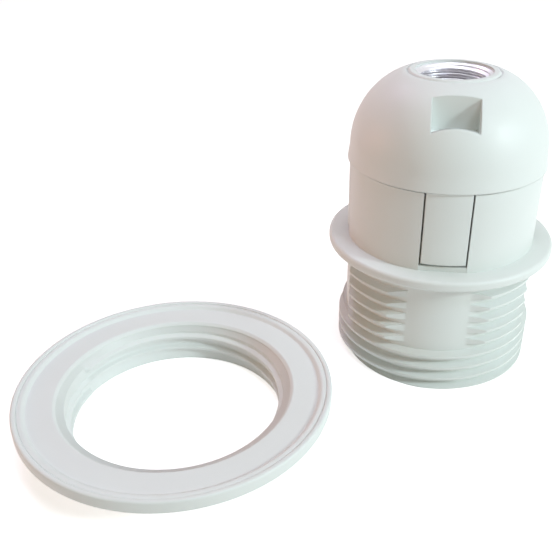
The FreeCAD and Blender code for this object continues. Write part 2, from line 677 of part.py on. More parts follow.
def contact_carrier():
    """The moulded insulator: a tube round the screw shell, and a floor with two terminal chambers."""
    body = new_body("contact_carrier")
    section = new_sketch(body, "XZ_Plane", "carrier_section")
    outline(section, [
        ("carrier_bore", "carrier_foot"),
        ("carrier_radius", "carrier_foot"),
        ("carrier_radius", "ledge_height"),
        ("carrier_flange", "ledge_height"),
        ("carrier_flange", "deck_height"),
        (0, "deck_height"),
        (0, "recess_top"),
        ("recess_radius", "recess_top"),
        ("recess_radius", "ceiling"),
        ("carrier_bore", "ceiling"),
    ])
    turn(body, section, "carrier_wall")
    for name, side, far, near in (("live", "-", "-%s_far", "-%s_near"), ("neutral", "", "%s_near", "%s_far")):
        walls = new_sketch(body, "XY_Plane", name + "_chamber_plan", "deck_height")
        rectangle(walls, far % "wall_x", near % "wall_x", "-wall_y", "wall_y")
        rectangle(walls, far % "chamber_x", near % "chamber_x", "-chamber_y", "chamber_y")
        raise_pad(body, walls, name + "_chamber", "chamber_height")
        gates = new_sketch(body, "XY_Plane", name + "_gate_plan", "deck_height")
        rectangle(gates, far % "gate", near % "gate", "-gate_y", "gate_y")
        cut_up(body, gates, name + "_gates", "chamber_height")
    barrier_plan = new_sketch(body, "XY_Plane", "barrier_plan", "deck_height")
    rectangle(barrier_plan, "-barrier_half", "barrier_half", "-barrier_reach", "barrier_reach")
    raise_pad(body, barrier_plan, "barrier", "barrier_height")
    holes = new_sketch(body, "XY_Plane", "floor_holes")
    rectangle(holes, "-slot_far", "-slot_near", "-gate_half", "gate_half")
    ring_line(holes, "terminal_offset", "rivet_reach", "rivet_hole")
    ring_line(holes, "-terminal_offset", "-rivet_reach", "rivet_hole")
    cut_through(body, holes, "floor_openings")
    return body


def screw_shell():
    """The drawn metal shell that takes the lamp cap's thread; its end is riveted to the carrier."""
    body = new_body("screw_shell")
    section = new_sketch(body, "XZ_Plane", "shell_section")
    outline(section, [
        ("shell_radius", "shell_foot"),
        ("shell_outer", "shell_foot"),
        ("shell_outer", "shell_neck_height"),
        ("shell_neck_outer", "ceiling"),
        ("shell_hole_radius", "ceiling"),
        ("shell_hole_radius", "shell_end_low"),
        ("shell_neck_radius", "shell_end_low"),
        ("shell_radius", "shell_neck_height"),
    ])
    turn(body, section, "shell_wall_turned")
    holes = new_sketch(body, "XY_Plane", "shell_holes")
    ring_line(holes, "terminal_offset", "rivet_reach", "rivet_hole")
    ring_line(holes, "-terminal_offset", "-rivet_reach", "rivet_hole")
    cut_through(body, holes, "shell_rivet_holes")
    return body


def centre_leaf():
    """The springy strip from the live terminal down to the middle of the lamp's cap."""
    body = new_body("centre_leaf")
    side = new_sketch(body, "XZ_Plane", "leaf_side")
    outline(side, [
        ("-leaf_root", "deck_height"),
        ("-leg_far", "deck_height"),
        ("-leg_far", "leaf_low"),
        ("leaf_end", "leaf_low"),
        ("leaf_end", "leaf_high"),
        ("-leg_near", "leaf_high"),
        ("-leg_near", "strip_top"),
        ("-leaf_root", "strip_top"),
    ])
    strip = body.newObject("PartDesign::Pad", "leaf_strip")
    strip.Profile = side
    strip.SideType = "Symmetric"
    strip.setExpression("Length", "sizes.strip_width")
    document.recompute()
    bend(body, "outer_bends", "leaf_bend_outer", [("-leg_far", "leaf_low"), ("-leg_near", "strip_top")])
    bend(body, "inner_bends", "leaf_bend", [("-leg_near", "leaf_high"), ("-leg_far", "deck_height")])
    hole = new_sketch(body, "XY_Plane", "button_hole_plan", "leaf_low")
    ring_line(hole, 0, 0, "button_hole")
    cut_up(body, hole, "button_hole_cut", "strip_thickness")
    return body


def centre_button():
    """The rivet-like contact that the lamp's cap presses on."""
    body = new_body("centre_button")
    section = new_sketch(body, "XZ_Plane", "button_section")
    outline(section, [
        (0, "button_low"),
        ("button_flat", "button_low"),
        ("button_radius", "button_side"),
        ("button_radius", "leaf_low"),
        ("button_shank", "leaf_low"),
        ("button_shank", "leaf_high"),
        ("button_collar", "leaf_high"),
        ("button_collar", "button_top"),
        (0, "button_top"),
    ], {1: ("button_crown", "button_flat", "button_side")})
    turn(body, section, "button_turned")
    return body


def neutral_strip():
    """The flat strip from the neutral terminal to the rivet that holds the screw shell."""
    body = new_body("neutral_strip")
    plan = new_sketch(body, "XY_Plane", "neutral_plan", "deck_height")
    rectangle(plan, "-strip_half", "strip_half", "-terminal_half_y", "neutral_front")
    ring_line(plan, 0, "rivet_reach", "rivet_hole")
    raise_pad(body, plan, "neutral_plate", "strip_thickness")
    set_down(body, "terminal_offset")
    return body


def terminal_block(label, offset):
    """A brass block with a wire opening along Y and a tapped hole from above."""
    body = new_body(label)
    plan = new_sketch(body, "XY_Plane", label + "_plan", "strip_top")
    rectangle(plan, "-terminal_half_x", "terminal_half_x", "-terminal_half_y", "terminal_half_y")
    raise_pad(body, plan, label + "_blank", "terminal_height")
    opening = new_sketch(body, "XZ_Plane", label + "_opening")
    rectangle(opening, "-wire_half", "wire_half", "wire_low", "wire_high")
    cut_through(body, opening, label + "_wire_opening")
    tapping = new_sketch(body, "XY_Plane", label + "_tapping", "wire_high")
    ring_line(tapping, 0, 0, "screw_hole")
    cut_up(body, tapping, label + "_tapped_hole", "terminal_roof")
    set_down(body, offset)
    return body


def clamp_plate(label, offset):
    """The loose plate under a terminal screw, which presses on the wire."""
    body = new_body(label)
    plan = new_sketch(body, "XY_Plane", label + "_plan", "plate_low")
    rectangle(plan, "-plate_half_x", "plate_half_x", "-plate_half_y", "plate_half_y")
    raise_pad(body, plan, label + "_blank", "plate_thickness")
    set_down(body, offset)
    return body


def terminal_screw(label, offset):
    """A terminal screw, wound out, with a slotted head."""
    body = new_body(label)
    section = new_sketch(body, "XZ_Plane", label + "_section")
    outline(section, [
        (0, "plate_top"),
        ("screw_radius", "plate_top"),
        ("screw_radius", "head_low"),
        ("head_radius", "head_low"),
        ("head_radius", "head_shoulder"),
        ("head_corner", "head_high"),
        (0, "head_high"),
    ])
    turn(body, section, label + "_turned")
    slot = new_sketch(body, "XY_Plane", label + "_slot_plan", "slot_floor")
    rectangle(slot, "-slot_reach", "slot_reach", "-slot_half", "slot_half")
    cut_up(body, slot, label + "_slot", "slot_depth")
    set_down(body, offset)
    return body


def rivet(label, x, y, seat, top):
    """A rivet through the screw shell's end and the carrier's floor."""
    body = new_body(label)
    section = new_sketch(body, "XZ_Plane", label + "_section")
    outline(section, [
        (0, "rivet_low"),
        ("rivet_head", "rivet_low"),
        ("rivet_head", "shell_end_low"),
        ("rivet_radius", "shell_end_low"),
        ("rivet_radius", seat),
        ("rivet_head", seat),
        ("rivet_head", top),
        (0, top),
    ])
    turn(body, section, label + "_turned")
    set_down(body, x, y)
    return body


def shade_ring():
    """The moulded ring that clamps a shade against the flange: plate, raised rim, threaded collar."""
    body = new_body("shade_ring")
    section = new_sketch(body, "XZ_Plane", "ring_section")
    outline(section, [
        ("ring_bore", 0),
        ("ring_collar", 0),
        ("ring_collar", "ring_under"),
        ("ring_out_round", "ring_under"),
        ("ring_radius", "ring_low_round"),
        ("ring_radius", "ring_high_round"),
        ("ring_out_round", "ring_height"),
        ("ring_in_round", "ring_height"),
        ("ring_rim_inner", "ring_high_round"),
        ("ring_rim_inner", "ring_face"),
        ("ring_ledge_radius", "ring_face"),
        ("ring_ledge_radius", "ring_ledge_height"),
        ("ring_ledge_inner", "ring_ledge_height"),
        ("ring_bore", "ring_lead_height"),
    ], {
        3: ("ring_edge", "ring_out_round", "ring_low_round"),
        5: ("ring_edge", "ring_out_round", "ring_high_round"),
        7: ("ring_edge", "ring_in_round", "ring_high_round"),
    })
    turn(body, section, "ring_wall")
    wind_ridge(body, "ring_thread", [
        ("-ring_foot", "ring_thread_start"),
        ("-ring_crest", "ring_ridge_low"),
        ("-ring_crest", "ring_ridge_high"),
        ("-ring_foot", "ring_ridge_end"),
    ], "ring_thread_rise")
    set_down(body, "-ring_x", "-ring_y")
    return body


def build():
    """Makes every piece and returns the bodies."""
    pieces = [
        threaded_sleeve(),
        dome_cap(),
        entry_bush(),
        contact_carrier(),
        screw_shell(),
        centre_leaf(),
        centre_button(),
        neutral_strip(),
        shade_ring(),
        rivet("neutral_rivet", "terminal_offset", "rivet_reach", "strip_top", "rivet_top_neutral"),
        rivet("shell_rivet", "-terminal_offset", "-rivet_reach", "deck_height", "rivet_top_live"),
    ]
    for name, offset in (("live", "-terminal_offset"), ("neutral", "terminal_offset")):
        pieces.append(terminal_block(name + "_terminal", offset))
        pieces.append(clamp_plate(name + "_clamp_plate", offset))
        pieces.append(terminal_screw(name + "_terminal_screw", offset))
    return pieces


def check(pieces):
    """Stops on a failed object, or on a piece that isn't one closed valid solid."""
    for item in document.Objects:
        if "Invalid" in item.State or "Error" in item.State:
            raise RuntimeError("%s is %s" % (item.Name, item.State))
    for body in pieces:
        shape = body.Shape
        if shape.isNull() or not shape.isValid() or len(shape.Solids) != 1:
            raise RuntimeError("%s has no single valid solid" % body.Label)


def write(pieces):
    """Writes each piece to its own file and lists its volume and height."""
    os.makedirs("parts", exist_ok=True)
    for body in pieces:
        body.Shape.exportStep("parts/%s.step" % body.Label)
        box = body.Shape.optimalBoundingBox(False, False)
        print("%-24s %10.1f mm3   z %6.2f to %6.2f" % (body.Label, body.Shape.Volume, box.ZMin, box.ZMax))


fill_sheet()
bodies = build()
document.recompute()
check(bodies)
write(bodies)
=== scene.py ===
"""The finished look of the lamp holder: the cap with its full shoulder, the shade ring with its
beaded rim, the threaded bush and the rolled screw shell as full surfaces, and a material for every
piece. Metres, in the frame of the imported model."""

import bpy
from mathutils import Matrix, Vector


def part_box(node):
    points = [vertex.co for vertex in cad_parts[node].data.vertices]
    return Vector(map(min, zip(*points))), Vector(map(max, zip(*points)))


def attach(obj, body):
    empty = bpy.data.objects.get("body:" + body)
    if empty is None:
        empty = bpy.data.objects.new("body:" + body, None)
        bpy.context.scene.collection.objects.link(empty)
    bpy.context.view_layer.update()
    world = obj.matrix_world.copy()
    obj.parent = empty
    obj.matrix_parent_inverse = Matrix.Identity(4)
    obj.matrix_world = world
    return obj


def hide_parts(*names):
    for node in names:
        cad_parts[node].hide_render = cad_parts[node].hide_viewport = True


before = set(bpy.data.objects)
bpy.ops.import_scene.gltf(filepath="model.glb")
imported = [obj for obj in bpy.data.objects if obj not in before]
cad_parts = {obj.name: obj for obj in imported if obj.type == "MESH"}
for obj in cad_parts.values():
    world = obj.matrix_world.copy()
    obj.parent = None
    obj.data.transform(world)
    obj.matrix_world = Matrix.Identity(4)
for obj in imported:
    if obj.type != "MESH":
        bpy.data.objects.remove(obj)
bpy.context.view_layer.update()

import math

import bpy
import numpy as np
from bpy.props import FloatProperty, FloatVectorProperty, PointerProperty, StringProperty
from mathutils import Matrix, Vector

bl_info = {
    "name": "Lamp holder finish",
    "version": (1, 0, 0),
    "blender": (4, 5, 0),
    "location": "View3D > Sidebar > Lamp holder",
    "description": "Finishes the lamp holder and its shade ring on their packed frame",
    "category": "Object",
}

MM = 0.001

# The photograph's camera: place in metres, turns in degrees, focal length for a 36 mm sensor.
CAMERA_PLACE = (-0.01074, -0.13680, 0.09092)
CAMERA_YAW = -8.89
CAMERA_PITCH = 29.9
CAMERA_ROLL = -1.05
CAMERA_LENS = 47.40
CAMERA_SENSOR = 36.0
CAMERA_SHIFT = (-0.0029, -0.0009)
CAMERA_NEAR = 0.005
CAMERA_FAR = 20

# The studio's lamps: each one's turn about the vertical from +X and its rise over the floor, in
# degrees, and its side in metres. All are squares that face the middle of the scene from one
# distance. The floor is a square too, and this is half its side.
LAMPS = {
    "key": (340.0, 25.0, 0.08),
    "front": (315.0, 50.0, 0.12),
    "top": (0.0, 90.0, 0.25),
    "back": (135.0, 50.0, 0.25),
    "side": (180.0, 5.0, 0.30),
}
LAMP_MIDDLE = (-0.02, -0.01, 0.025)
LAMP_DISTANCE = 0.60
FLOOR_HALF = 0.60

# The finishes of the mouldings: the two colours, the roughness and the grain in millimetres. The
# grain of a real mould is about 0.05 mm, so it is drawn coarser here, where it just shows.
MOULDINGS = {
    # ABS from a finely polished mould: a soft, slightly cool white with a broad dull sheen.
    "moulded_abs_white": ("abs_white", "abs_shade", 0.46, 0.35),
    # Glass-filled PBT, which takes the heat: duller and yellower, with no clear highlight.
    "moulded_pbt_ivory": ("pbt_ivory", "pbt_shade", 0.5, 0.25),
}

# The finishes of the metals: the two colours, the roughness, the spacing of the tool marks in
# millimetres, drawn a few times coarser than real ones so that they show, and the axis across them.
METALS = {
    # Phosphor bronze, rolled to sheet: warm orange, with fine straight lines along the strip.
    "rolled_phosphor_bronze": ("bronze", "bronze_stain", 0.3, 0.25, "Y"),
    # Brass, turned or sawn from bar: clear yellow, with fine level marks from the tool.
    "turned_brass": ("brass", "brass_stain", 0.28, 0.2, "Z"),
    # Steel, zinc plated: a cool blue-grey shine.
    "zinc_plated_steel": ("zinc", "zinc_stain", 0.3, 0.2, "Z"),
    # Brass rivets, nickel plated and pressed: nearly white, with a tight highlight.
    "nickel_plated_rivet": ("nickel", "nickel_stain", 0.25, 0.2, "Z"),
    # Brass, turned or drawn and then nickel plated: nearly white, with a broader highlight.
    "nickel_plated_brass": ("nickel", "nickel_stain", 0.34, 0.3, "Z"),
}

# The sizes of the patches in which the plastics' colour drifts, their polish changes, the metals
# tarnish and the floor's paper varies, and the heights of the plastics' grain and of the tool marks.
COLOUR_DRIFT = 14 * MM
POLISH_PATCH = 3 * MM
TARNISH_PATCH = 2.5 * MM
PAPER_PATCH = 2.5 * MM
GRAIN_HEIGHT = 0.03 * MM
MARK_HEIGHT = 0.02 * MM

# Along their length the tool marks vary at this share of the rate at which they vary across it.
MARK_STRETCH = 0.08

# Each CAD node that stays in view, with the finish it takes and its edge rounding in millimetres.
NODE_FINISH = {
    "threaded_sleeve": ("moulded_abs_white", 0.15),
    "contact_carrier": ("moulded_pbt_ivory", 0.15),
    "centre_leaf": ("rolled_phosphor_bronze", 0.05),
    "neutral_strip": ("rolled_phosphor_bronze", 0.05),
    "centre_button": ("turned_brass", 0.1),
    "live_terminal": ("turned_brass", 0.1),
    "neutral_terminal": ("turned_brass", 0.1),
    "live_clamp_plate": ("zinc_plated_steel", 0.08),
    "neutral_clamp_plate": ("zinc_plated_steel", 0.08),
    "live_terminal_screw": ("zinc_plated_steel", 0.1),
    "neutral_terminal_screw": ("zinc_plated_steel", 0.1),
    "neutral_rivet": ("nickel_plated_rivet", 0.08),
    "shell_rivet": ("nickel_plated_rivet", 0.08),
}

# Edges between faces that turn more than this stay crisp, once corners this close are joined.
CRISP_ANGLE = math.radians(28)
MERGE_DISTANCE = 0.0005 * MM
JOIN_DISTANCE = 0.0002 * MM

# Columns round the axis and rows along the threaded wall of each new surface, and the points that
# round one corner of a section.
RING_COLUMNS, RING_ROWS = 300, 72
BUSH_COLUMNS, BUSH_ROWS = 160, 170
SHELL_COLUMNS, SHELL_ROWS = 144, 130
CORNER_POINTS = 7

# The shade ring: its collar's wall, its plate's thickness and the slope from the plate to the ledge.
RING_COLLAR = 2.7 * MM
RING_PLATE = 1.7 * MM
RING_STEP = 0.6 * MM

# The ring's rim: the widths of its inner slope and its inner bead, half the groove's width and its
# depth, and the outer bead's rise beside the groove and its width up to the top.
RIM_SLOPE = 0.6 * MM
RIM_BEAD = 0.85 * MM
RIM_GROOVE_HALF = 0.08 * MM
RIM_GROOVE_DEPTH = 0.12 * MM
RIM_LIFT = 0.1 * MM
RIM_SHOULDER = 0.35 * MM

# The ring's thread ridge: its base, one flank's width, the angle at which it starts, and the height
# at which it fades in above the foot and over how much.
RIDGE_BASE = 1.5 * MM
RIDGE_FLANK = 0.5 * MM
RIDGE_START = math.radians(165)
RIDGE_FADE_FROM = 0.25 * MM
RIDGE_FADE = 0.5 * MM

# The bush's thread: its crest's flat and the part that a flank takes, as shares of half a pitch.
BUSH_FLAT = 0.2
BUSH_FLANK = 0.6

# The shell: plain wall below the thread and above it, and the height over which the thread fades.
SHELL_PLAIN = 0.8 * MM
SHELL_NECK_PLAIN = 0.4 * MM
SHELL_FADE = 1.6 * MM

# The source's sizes of the cap that the full shoulder starts from.
CAP_CENTRE = 5.2 * MM
CAP_FOOT = 43.1 * MM
CAP_ROUND = 13.1 * MM
LIP_RADIUS = 8.3 * MM
STEP_RADIUS = 8.9 * MM
STEP_TOP = 55.95 * MM
NOTCH_HALF = 4.05 * MM
NOTCH_BACK = 10.05 * MM
NOTCH_FRONT = 15.5 * MM
NOTCH_FLOOR = 45.79 * MM

# Corners this close to a surface of the cap lie on it; past CAP_SIDE in |y| none of them slides, past
# SLIDE_REACH in |x| neither, and the groove round the lip slopes up by GROOVE_SLOPE.
ON_SURFACE = 0.02 * MM
CAP_SIDE = 17.5 * MM
SLIDE_REACH = 7.5 * MM
GROOVE_SLOPE = 0.2 * MM


def linear(colour):
    """An sRGB hex value such as #f0ede6 as a linear colour with alpha."""
    parts = [int(colour[start:start + 2], 16) / 255 for start in (1, 3, 5)]
    return tuple(c / 12.92 if c <= 0.04045 else ((c + 0.055) / 1.055) ** 2.4 for c in parts) + (1.0,)


def add_node(tree, kind, inputs=None, **settings):
    """Adds a node with its settings; each named input takes a value or a link from a socket."""
    node = tree.nodes.new(kind)
    for name, value in settings.items():
        setattr(node, name, value)
    for name, value in (inputs or {}).items():
        if isinstance(value, bpy.types.NodeSocket):
            tree.links.new(value, node.inputs[name])
        else:
            node.inputs[name].default_value = value
    return node


def new_material(name):
    """An empty node material."""
    material = bpy.data.materials.new(name)
    material.use_nodes = True
    material.node_tree.nodes.clear()
    return material, material.node_tree


def close_material(tree, shader):
    """Links the shader to the material's output."""
    add_node(tree, "ShaderNodeOutputMaterial", {"Surface": shader.outputs[0]})


def moulded_plastic(name, colour, shade, roughness, grain, edge):
    """Injection-moulded plastic: an even body colour that drifts a little, a faint sheen that varies
    with the mould's polish, a fine grain in millimetres and rounded edges in millimetres."""
    material, tree = new_material(name)
    place = add_node(tree, "ShaderNodeTexCoord").outputs["Object"]
    drift = add_node(tree, "ShaderNodeTexNoise", {
        "Vector": place, "Scale": 1 / COLOUR_DRIFT, "Detail": 2.0, "Roughness": 0.5,
    })
    body = add_node(tree, "ShaderNodeMix", {
        "Factor": drift.outputs["Fac"], "A": linear(shade), "B": linear(colour),
    }, data_type="RGBA")
    polish = add_node(tree, "ShaderNodeTexNoise", {
        "Vector": place, "Scale": 1 / POLISH_PATCH, "Detail": 3.0, "Roughness": 0.6,
    })
    sheen = add_node(tree, "ShaderNodeMapRange", {
        "Value": polish.outputs["Fac"], "From Min": 0.3, "From Max": 0.7,
        "To Min": roughness - 0.05, "To Max": roughness + 0.06,
    })
    grit = add_node(tree, "ShaderNodeTexNoise", {
        "Vector": place, "Scale": 1 / (grain * MM), "Detail": 2.0, "Roughness": 0.6,
    })
    rounded = add_node(tree, "ShaderNodeBevel", {"Radius": edge * MM}, samples=6)
    relief = add_node(tree, "ShaderNodeBump", {
        "Height": grit.outputs["Fac"], "Strength": 0.25, "Distance": GRAIN_HEIGHT,
        "Normal": rounded.outputs["Normal"],
    })
    shader = add_node(tree, "ShaderNodeBsdfPrincipled", {
        "Base Color": body.outputs["Result"], "Roughness": sheen.outputs["Result"],
        "Normal": relief.outputs["Normal"], "IOR": 1.5,
    })
    close_material(tree, shader)
    return material


def worked_metal(name, colour, stain, roughness, line, axis, edge):
    """Bare or plated metal: its colour with a slight tarnish, and tool marks as fine bands spaced by
    line millimetres along an axis, which roughen it and catch the light."""
    material, tree = new_material(name)
    place = add_node(tree, "ShaderNodeTexCoord").outputs["Object"]
    tarnish = add_node(tree, "ShaderNodeTexNoise", {
        "Vector": place, "Scale": 1 / TARNISH_PATCH, "Detail": 3.0, "Roughness": 0.6,
    })
    body = add_node(tree, "ShaderNodeMix", {
        "Factor": tarnish.outputs["Fac"], "A": linear(stain), "B": linear(colour),
    }, data_type="RGBA")
    stretch = [MARK_STRETCH] * 3
    stretch["XYZ".index(axis)] = 1.0
    along = add_node(tree, "ShaderNodeMapping", {"Vector": place, "Scale": stretch})
    marks = add_node(tree, "ShaderNodeTexNoise", {
        "Vector": along.outputs["Vector"], "Scale": 1 / (line * MM), "Detail": 2.0, "Roughness": 0.7,
    })
    dull = add_node(tree, "ShaderNodeMapRange", {
        "Value": marks.outputs["Fac"], "From Min": 0.3, "From Max": 0.7,
        "To Min": roughness - 0.06, "To Max": roughness + 0.1,
    })
    rounded = add_node(tree, "ShaderNodeBevel", {"Radius": edge * MM}, samples=4)
    relief = add_node(tree, "ShaderNodeBump", {
        "Height": marks.outputs["Fac"], "Strength": 0.3, "Distance": MARK_HEIGHT,
        "Normal": rounded.outputs["Normal"],
    })
    shader = add_node(tree, "ShaderNodeBsdfPrincipled", {
        "Base Color": body.outputs["Result"], "Metallic": 1.0, "Roughness": dull.outputs["Result"],
        "Normal": relief.outputs["Normal"],
    })
    close_material(tree, shader)
    return material


def make_finish(name, edge):
    """The material of that name, made once for each edge rounding."""
    label = "%s_%d" % (name, round(edge * 100))
    if label in bpy.data.materials:
        return bpy.data.materials[label]
    look = bpy.context.scene.holder_finish
    if name in MOULDINGS:
        make, (light, dark, *rest) = moulded_plastic, MOULDINGS[name]
    else:
        make, (light, dark, *rest) = worked_metal, METALS[name]
    return make(label, getattr(look, light), getattr(look, dark), *rest, edge)


def grid_piece(name, points):
    """A mesh from a grid of points (rows, columns, 3) that is closed round its columns and its rows.
    Each quad joins a point to its neighbours. The volume that the quads enclose is the sum of
    corner . (corner x corner) over six; where it is negative, the mesh is turned to face outwards."""
    rows, columns, _ = points.shape
    index = np.arange(rows * columns).reshape(rows, columns)
    beside = np.roll(index, -1, axis=1)
    above = np.roll(index, -1, axis=0)
    corner = np.roll(beside, -1, axis=0)
    quads = np.stack([index, beside, corner, above], axis=-1).reshape(-1, 4)
    flat = points.reshape(-1, 3)
    a, b, c, d = (flat[quads[:, k]] for k in range(4))
    volume = np.sum(a * np.cross(b, c)) + np.sum(a * np.cross(c, d))
    if volume < 0:
        quads = quads[:, ::-1]
    mesh = bpy.data.meshes.new(name)
    mesh.from_pydata(flat.tolist(), [], quads.tolist())
    mesh.polygons.foreach_set("use_smooth", np.ones(len(quads), dtype=bool))
    mesh.update()
    mesh.validate()
    piece = bpy.data.objects.new(name, mesh)
    bpy.context.scene.collection.objects.link(piece)
    return piece


def finish_piece(piece, finish, edge, body):
    """Gives a new piece its material and its body."""
    piece.data.materials.append(make_finish(finish, edge))
    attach(piece, body)


def smooth_group():
    """A node group that joins a CAD node's loose triangles and shades them smooth up to an angle."""
    if "smooth_faces" in bpy.data.node_groups:
        return bpy.data.node_groups["smooth_faces"]
    tree = bpy.data.node_groups.new("smooth_faces", "GeometryNodeTree")
    tree.interface.new_socket("Geometry", in_out="INPUT", socket_type="NodeSocketGeometry")
    tree.interface.new_socket("Geometry", in_out="OUTPUT", socket_type="NodeSocketGeometry")
    start = add_node(tree, "NodeGroupInput")
    joined = add_node(tree, "GeometryNodeMergeByDistance", {
        "Geometry": start.outputs["Geometry"], "Distance": MERGE_DISTANCE,
    })
    soft = add_node(tree, "GeometryNodeSetShadeSmooth", {
        "Geometry": joined.outputs["Geometry"], "Shade Smooth": True,
    }, domain="FACE")
    angle = add_node(tree, "GeometryNodeInputMeshEdgeAngle")
    sharp = add_node(tree, "FunctionNodeCompare", {
        "A": angle.outputs["Unsigned Angle"], "B": CRISP_ANGLE,
    }, data_type="FLOAT", operation="GREATER_THAN")
    crisp = add_node(tree, "GeometryNodeSetShadeSmooth", {
        "Geometry": soft.outputs["Geometry"], "Selection": sharp.outputs["Result"],
        "Shade Smooth": False,
    }, domain="EDGE")
    add_node(tree, "NodeGroupOutput", {"Geometry": crisp.outputs["Geometry"]})
    return tree


class HolderFinish(bpy.types.PropertyGroup):
    """Colours of the finishes, as sRGB hex values."""

    abs_white: StringProperty(name="ABS white", description="Lighter tone of the white mouldings",
                              default="#e9eeec")
    abs_shade: StringProperty(name="ABS shade", description="Darker tone of the white mouldings",
                              default="#e4e8e6")
    pbt_ivory: StringProperty(name="PBT ivory", description="Lighter tone of the inner moulding",
                              default="#e3dfd2")
    pbt_shade: StringProperty(name="PBT shade", description="Darker tone of the inner moulding",
                              default="#dad5c6")
    nickel: StringProperty(name="Nickel", description="Nickel plating where it is clean",
                           default="#efedf0")
    nickel_stain: StringProperty(name="Nickel stain", description="Nickel plating where it is dull",
                                 default="#dcd9de")
    bronze: StringProperty(name="Bronze", description="Rolled bronze where it is clean",
                           default="#d9a268")
    bronze_stain: StringProperty(name="Bronze stain", description="Rolled bronze where it is dull",
                                 default="#bf8650")
    brass: StringProperty(name="Brass", description="Brass where it is clean", default="#e0c080")
    brass_stain: StringProperty(name="Brass stain", description="Brass where it is dull",
                                default="#cba765")
    zinc: StringProperty(name="Zinc", description="Zinc plating where it is clean", default="#cfd2d6")
    zinc_stain: StringProperty(name="Zinc stain", description="Zinc plating where it is dull",
                               default="#b6bac2")


class HolderStage(bpy.types.PropertyGroup):
    """The lamps, the floor and the surroundings."""

    key_power: FloatProperty(name="Key lamp", description="Power of the lamp on the right",
                             default=1.76, min=0.0, unit="POWER")
    key_colour: FloatVectorProperty(name="Key colour", description="Colour of the lamp on the right",
                                    default=(0.83, 0.98, 1.0), subtype="COLOR", min=0.0, max=1.0)
    front_power: FloatProperty(name="Front lamp", description="Power of the lamp by the camera",
                               default=0.68, min=0.0, unit="POWER")
    front_colour: FloatVectorProperty(name="Front colour", description="Colour of the camera's lamp",
                                      default=(0.74, 0.86, 1.0), subtype="COLOR", min=0.0, max=1.0)
    top_power: FloatProperty(name="Top lamp", description="Power of the lamp overhead",
                             default=0.94, min=0.0, unit="POWER")
    top_colour: FloatVectorProperty(name="Top colour", description="Colour of the lamp overhead",
                                    default=(0.84, 0.88, 1.0), subtype="COLOR", min=0.0, max=1.0)
    back_power: FloatProperty(name="Back lamp", description="Power of the lamp behind the holder",
                              default=0.64, min=0.0, unit="POWER")
    back_colour: FloatVectorProperty(name="Back colour", description="Colour of the lamp behind",
                                     default=(0.78, 0.65, 1.0), subtype="COLOR", min=0.0, max=1.0)
    side_power: FloatProperty(name="Side lamp", description="Power of the low lamp on the left",
                              default=0.88, min=0.0, unit="POWER")
    side_colour: FloatVectorProperty(name="Side colour", description="Colour of the low left lamp",
                                     default=(1.0, 0.36, 0.17), subtype="COLOR", min=0.0, max=1.0)
    room_light: FloatProperty(name="Room light", description="Strength of the even light around",
                              default=0.22, min=0.0)
    room_colour: FloatVectorProperty(name="Room colour", description="Colour of the light around",
                                     default=(1.0, 0.83, 0.50), subtype="COLOR", min=0.0, max=1.0)
    floor_glow: FloatProperty(name="Floor white", description="White added where the floor is seen",
                              default=0.6, min=0.0)


class CapSizes(bpy.types.PropertyGroup):
    """The domed cap's shoulder and notches."""

    rise: FloatProperty(name="Shoulder rise", description="Height of the shoulder's oval round",
                        default=14.35 * MM, unit="LENGTH", subtype="DISTANCE")
    notch_back: FloatProperty(name="Notch back", description="Notch's back wall from the axis",
                              default=11.6 * MM, unit="LENGTH", subtype="DISTANCE")
    notch_front: FloatProperty(name="Notch front", description="Notch's front wall from the axis",
                               default=15.9 * MM, unit="LENGTH", subtype="DISTANCE")
    notch_floor: FloatProperty(name="Notch floor", description="Height of the notch's floor",
                               default=49.7 * MM, unit="LENGTH", subtype="DISTANCE")
    groove: FloatProperty(name="Lip groove", description="Height of the fine groove round the lip",
                          default=56.65 * MM, unit="LENGTH", subtype="DISTANCE")
    step: FloatProperty(name="Groove edge", description="Outer radius of the groove round the lip",
                        default=8.55 * MM, unit="LENGTH", subtype="DISTANCE")


class RingSizes(bpy.types.PropertyGroup):
    """The shade ring."""

    bore: FloatProperty(name="Bore", description="Radius between the ring's thread ridges",
                        default=19.7 * MM, unit="LENGTH", subtype="DISTANCE")
    bite: FloatProperty(name="Ridge", description="How far the thread ridge reaches inwards",
                        default=0.85 * MM, unit="LENGTH", subtype="DISTANCE")
    pitch: FloatProperty(name="Pitch", description="Rise of the ring's thread in one turn",
                         default=2.5 * MM, unit="LENGTH", subtype="DISTANCE")
    ledge: FloatProperty(name="Ledge", description="Height of the sloping ledge at the bore",
                         default=6.7 * MM, unit="LENGTH", subtype="DISTANCE")
    shelf: FloatProperty(name="Shelf", description="Height of the sloping ledge at the step's foot",
                         default=7.25 * MM, unit="LENGTH", subtype="DISTANCE")
    well: FloatProperty(name="Plate's hole", description="Radius of the plate's inner edge",
                        default=21.5 * MM, unit="LENGTH", subtype="DISTANCE")
    plate: FloatProperty(name="Plate", description="Height of the plate's upper face",
                         default=7.8 * MM, unit="LENGTH", subtype="DISTANCE")
    bead: FloatProperty(name="Inner bead", description="Height of the rim's lower inner bead",
                        default=8.4 * MM, unit="LENGTH", subtype="DISTANCE")
    seam: FloatProperty(name="Rim groove", description="Radius of the fine groove between the beads",
                        default=27.5 * MM, unit="LENGTH", subtype="DISTANCE")


